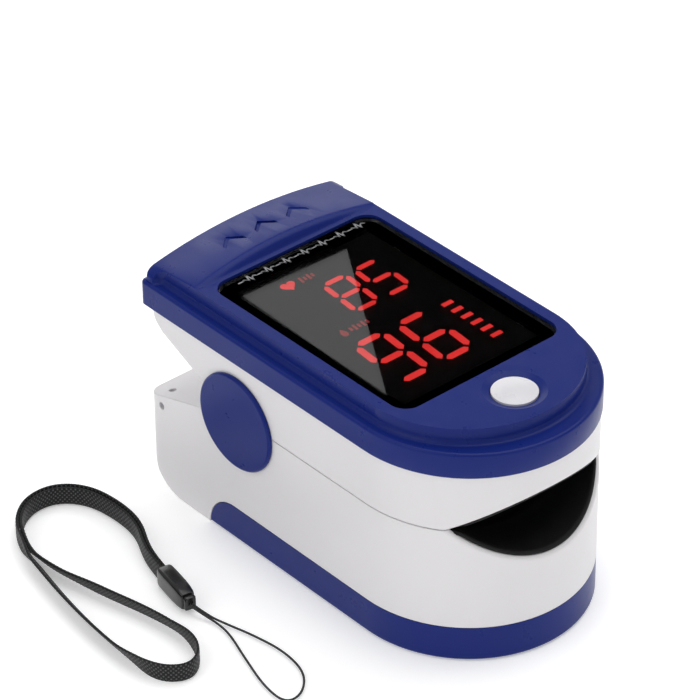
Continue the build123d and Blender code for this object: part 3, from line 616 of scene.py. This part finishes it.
def make_pad(name, up):
    """Soft finger channel: a trough with cross ribs, a raised rim round the optical window and round lips."""
    inset, half, deep, back, rise = (1.8, 11.1, 3.7, 25.18, 4.2) if up else (1.6, 11.3, 5.0, 13.32, 5.5)
    turn = 1 if up else -1
    wide, nose = JAW_HALF - inset, NOSE_DEEP - inset
    lip_wide, lip_nose = JAW_HALF - LIP_INSET, NOSE_DEEP - LIP_INSET
    front, rear_edge = WINDOW_Y
    columns = spread(-wide, -WINDOW_X, SIDE_CELLS) + spread(-WINDOW_X, WINDOW_X, WINDOW_CELLS)
    columns += spread(WINDOW_X, wide, SIDE_CELLS) + [wide]
    angles = [math.radians(3 + 87 * i / 40) for i in range(40)]
    rows = [NOSE_START - lip_nose * math.cos(a) for a in angles]
    first = len(rows) + WINDOW_CELLS
    rows += spread(NOSE_START, front, WINDOW_CELLS) + spread(front, rear_edge, WINDOW_CELLS)
    rows += spread(rear_edge, PAD_BACK, BACK_CELLS) + [PAD_BACK]
    face, rear = [], []
    for y in rows:
        ahead = min(0.0, y - NOSE_START)
        body = wide * math.sqrt(max(0.0, 1 - (ahead / nose) ** 2))
        mouth = min(12.0, lip_wide * math.sqrt(max(0.0, 1 - (ahead / lip_nose) ** 2)))
        reach = body if y > NOSE_START - 6 else max(body, mouth)
        for column in columns:
            x = column * reach / wide
            edge = (1 - math.hypot(x / lip_wide, ahead / lip_nose)) * lip_wide
            drop = depth_at(x, half, deep)
            drop = 0.5 * (drop + math.sqrt(drop * drop + 0.3))
            drop *= 1 - smooth((y - 3.2) / 1.9)
            rib = 0.5 - 0.5 * math.cos(2 * math.pi * (y + 25) / RIB_PITCH)
            keep = smooth((9.0 - abs(x)) / 3.0) * smooth((y + 24) / 3) * smooth((1.5 - y) / 2)
            ring = max(abs(x) - WINDOW_X, front - y, y - rear_edge)
            keep *= smooth((ring - 0.5) / 0.8)
            drop -= 0.28 * rib ** 0.7 * keep
            drop -= 0.16 * smooth(1 - abs(ring - 0.35) / 0.35)
            lip = max(0.0, 1 - edge / 0.5)
            level = max(drop, 0.3) + 0.4 * (1 - math.sqrt(max(0.0, 1 - lip * lip)))
            pocket = not up and abs(x) < 3.1 and -9.2 < y < -1.2
            under = 13.48 if pocket else back
            if math.hypot(x / wide, ahead / nose) > 0.985:
                under = SPLIT + turn * max(level + 0.08, min(abs(back - SPLIT), depth_at(x, 12.1, rise)))
            face.append(Vector((x, y, SPLIT + turn * level)) * MM)
            rear.append(Vector((x, y, under)) * MM)
    n, m = len(columns), len(rows)
    offset = n * m
    left, right = SIDE_CELLS, SIDE_CELLS + WINDOW_CELLS
    low, high = first, first + WINDOW_CELLS
    faces = []
    for i in range(m - 1):
        for j in range(n - 1):
            if low <= i < high and left <= j < right:
                continue
            a, b, c, d = i * n + j, i * n + j + 1, (i + 1) * n + j + 1, (i + 1) * n + j
            faces.append((a, b, c, d) if not up else (d, c, b, a))
            quad = (offset + d, offset + c, offset + b, offset + a)
            faces.append(quad if not up else quad[::-1])
    outer = list(range(n)) + [i * n + n - 1 for i in range(1, m)]
    outer += [(m - 1) * n + j for j in range(n - 2, -1, -1)] + [i * n for i in range(m - 2, 0, -1)]
    inner = [low * n + j for j in range(left, right)] + [i * n + right for i in range(low, high)]
    inner += [high * n + j for j in range(right, left, -1)] + [i * n + left for i in range(high, low, -1)]
    for loop, flip in ((outer, up), (inner, not up)):
        for a, b in zip(loop, loop[1:] + loop[:1]):
            quad = (a, a + offset, b + offset, b)
            faces.append(quad if not flip else quad[::-1])
    pad = mesh_object(name, face + rear, faces, sharp=70)
    paint(pad, SILICONE)
    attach(pad, "upper_jaw" if up else "base")
    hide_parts("upper_finger_pad" if up else "lower_finger_pad")


make_pad("lower_pad", False)
make_pad("upper_pad", True)


# ---- flexible circuit between the jaws ------------------------------------------------------
def make_flex():
    """Ribbon from the sensor board, back under the pad and up past the shaft to the main board."""
    line = [(-1.4, 13.1), (8.0, 13.1)]
    bend = [math.radians(15 * i) for i in range(1, 6)]
    line += [(8.0 + 0.9 * math.sin(a), 14.0 - 0.9 * math.cos(a)) for a in bend]
    line += [(8.9 + 0.5 * smooth(i / 44), 14.0 + 13.5 * i / 44) for i in range(45)]
    dense = []
    for (y0, z0), (y1, z1) in zip(line, line[1:]):
        steps = max(1, round(math.hypot(y1 - y0, z1 - z0) / 0.3))
        dense += [(y0 + (y1 - y0) * i / steps, z0 + (z1 - z0) * i / steps) for i in range(steps)]
    dense.append(line[-1])
    verts, faces = [], []
    for i, (y, z) in enumerate(dense):
        before, after = dense[max(i - 1, 0)], dense[min(i + 1, len(dense) - 1)]
        run = Vector((after[0] - before[0], after[1] - before[1])).normalized() * 0.07
        for x, s in ((-2.0, 1), (2.0, 1), (2.0, -1), (-2.0, -1)):
            verts.append(Vector((x, y - run.y * s, z + run.x * s)) * MM)
    for i in range(len(dense) - 1):
        for j in range(4):
            k = (j + 1) % 4
            faces.append((i * 4 + j, i * 4 + k, i * 4 + 4 + k, i * 4 + 4 + j))
    last = (len(dense) - 1) * 4
    faces += [(3, 2, 1, 0), (last, last + 1, last + 2, last + 3)]
    ribbon = mesh_object("flex_ribbon", verts, faces, sharp=50)
    paint(ribbon, FLEX)
    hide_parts("sensor_flex")
    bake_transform(ribbon)


make_flex()


# ---- marks on the display and its lens ------------------------------------------------------
def raised(name, outlines, low, high, material):
    """Flat outlines in (X, Y), given thickness between two heights."""
    verts, faces = [], []
    for outline in outlines:
        n, first = len(outline), len(verts)
        for z in (low, high):
            verts += [Vector((x, y, z)) * MM for x, y in outline]
        faces.append(tuple(first + i for i in range(n - 1, -1, -1)))
        faces.append(tuple(first + n + i for i in range(n)))
        for i in range(n):
            k = (i + 1) % n
            faces.append((first + i, first + k, first + n + k, first + n + i))
    mark = mesh_object(name, verts, faces, smooth=False)
    paint(mark, material)
    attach(mark, "upper_jaw")


def dash(x, y, wide, tall, lean=0.09):
    shift, w, h = lean * tall / 2, wide / 2, tall / 2
    return [(x - w - shift, y - h), (x + w - shift, y - h), (x + w + shift, y + h), (x - w + shift, y + h)]


def heart(x, y, size):
    points = []
    for i in range(40):
        t = 2 * math.pi * i / 40
        u = 16 * math.sin(t) ** 3
        v = 13 * math.cos(t) - 5 * math.cos(2 * t) - 2 * math.cos(3 * t) - math.cos(4 * t)
        points.append((x + size * u / 32, y + size * v / 32))
    return points[::-1]


def droplet(x, y, size):
    points = []
    for i in range(32):
        t = 2 * math.pi * i / 32
        points.append((x + 0.62 * size * math.sin(t) * math.sin(t / 2), y + 0.8 * size * math.cos(t)))
    return points[::-1]


def stroke(points, width):
    """A polyline drawn as one outline per run, overlapping at the corners."""
    out = []
    for (x0, y0), (x1, y1) in zip(points, points[1:]):
        along = Vector((x1 - x0, y1 - y0)).normalized() * (width / 2)
        a = Vector((x0, y0)) - along
        b = Vector((x1, y1)) + along
        side = Vector((-along.y, along.x))
        out.append([tuple(a - side), tuple(b - side), tuple(b + side), tuple(a + side)])
    return out


DIM = glow("dim_red", (0.62, 0.055, 0.05), 1.2)
MARK_LOW, MARK_HIGH = 31.705, 31.78
raised("pulse_mark", [heart(-4.7, 14.6, 2.1)], MARK_LOW, MARK_HIGH, LIT)
rate_dashes = [dash(-2.7 + 0.62 * i, 14.55, 0.3, 0.7 if i % 2 else 1.15) for i in range(4)]
raised("rate_mark", rate_dashes, MARK_LOW, MARK_HIGH, DIM)
oxygen_dashes = [dash(-5.2 + 0.66 * i, 2.3, 0.32, 1.1 if i % 2 else 0.7) for i in range(5)]
raised("oxygen_mark", [droplet(-6.4, 2.3, 0.95)] + oxygen_dashes, MARK_LOW, MARK_HIGH, DIM)

BEAT = [
    (0.0, 0.0), (0.75, 0.0), (0.95, 0.22), (1.15, 0.0), (1.35, 0.0), (1.5, -0.3),
    (1.78, 0.85), (2.05, -0.55), (2.2, 0.0), (2.55, 0.28), (2.9, 0.0),
]
BEAT_PITCH, TRACE_Y = 2.98, 18.3
trace = [(-9.7 + BEAT_PITCH * k + x, TRACE_Y + y) for k in range(7) for x, y in BEAT] + [(11.1, TRACE_Y)]
raised("pulse_trace", stroke(trace, 0.17), 33.004, 33.018, PRINT)


# ---- floor and light ------------------------------------------------------------------------
def make_world():
    """A soft white studio: one bright patch of wall, and three dark patches that the shiny faces mirror."""
    world = bpy.data.worlds.new("studio")
    world.use_nodes = True
    tree = world.node_tree
    where = tree.nodes.new("ShaderNodeTexCoord").outputs["Generated"]
    lit = math_node(tree, "MULTIPLY", zone(tree, where, (0.54, 0.71, 0.45), 13.0, 20.0), 1.7)
    lit = math_node(tree, "ADD", lit, 0.5)
    for direction, inner, outer, depth in (
        ((0.569, 0.478, 0.669), 13.8, 16.2, 1.0),
        ((0.539, -0.72, 0.436), 14.0, 26.0, 0.95),
        ((-0.744, 0.62, 0.05), 12.0, 22.0, 0.95),
    ):
        dark = math_node(tree, "MULTIPLY", zone(tree, where, direction, inner, outer), depth)
        lit = math_node(tree, "MULTIPLY", lit, math_node(tree, "SUBTRACT", 1.0, dark))
    background = tree.nodes["Background"]
    background.inputs["Color"].default_value = (1.0, 1.0, 1.0, 1.0)
    tree.links.new(lit, background.inputs["Strength"])
    bpy.context.scene.world = world


def make_floor():
    size = 3.0
    corners = [(-size, -size, 0), (size, -size, 0), (size, size, 0), (-size, size, 0)]
    floor = mesh_object("floor", corners, [(0, 1, 2, 3)], smooth=False)
    floor.location.z = -0.2 * MM
    material, tree, shader = nodes_of("floor_white")
    shader.inputs["Base Color"].default_value = (0.95, 0.95, 0.95, 1.0)
    shader.inputs["Roughness"].default_value = 0.9
    shader.inputs["Specular IOR Level"].default_value = 0.1
    shader.inputs["Emission Color"].default_value = (1.0, 1.0, 1.0, 1.0)
    shader.inputs["Emission Strength"].default_value = 0.3
    paint(floor, material)


def make_card():
    """A lit card high behind the clip, seen only as the pale triangle mirrored in the lens."""
    plane = 33.0 * MM
    eye = CAMERA.matrix_world.translation
    mirrored = Vector((eye.x, eye.y, 2 * plane - eye.z))
    corners = []
    for x, y in ((-11.1, 15.9), (5.5, 15.3), (-11.9, -11.8)):
        through = Vector((x * MM, y * MM, plane))
        ray = through - mirrored
        corners.append(through + ray * (0.35 / ray.z))
    card = mesh_object("card", corners, [(0, 1, 2)], smooth=False)
    material, tree, shader = nodes_of("card_light")
    shader.inputs["Base Color"].default_value = (0.0, 0.0, 0.0, 1.0)
    shader.inputs["Emission Color"].default_value = (1.0, 1.0, 1.0, 1.0)
    shader.inputs["Emission Strength"].default_value = 0.86
    paint(card, material)


def area_light(name, place, aim, size, energy):
    data = bpy.data.lights.new(name, "AREA")
    data.shape = "RECTANGLE"
    data.size = size
    data.size_y = size
    data.energy = energy
    light = link(bpy.data.objects.new(name, data))
    light.location = place
    light.rotation_euler = (Vector(aim) - Vector(place)).to_track_quat("-Z", "Y").to_euler()


make_world()
make_floor()
make_card()
area_light("key", (-0.8, 0.1, 0.7), (0, 0, 0.01), 0.8, 2.2)
area_light("fill", (0.3, -0.95, 0.5), (0, 0, 0.01), 0.8, 1.0)
area_light("top", (0.35, 0.05, 1.0), (0, 0, 0.0), 1.0, 5.5)

bpy.context.scene.view_settings.view_transform = "Standard"
bpy.context.scene.view_settings.look = "None"
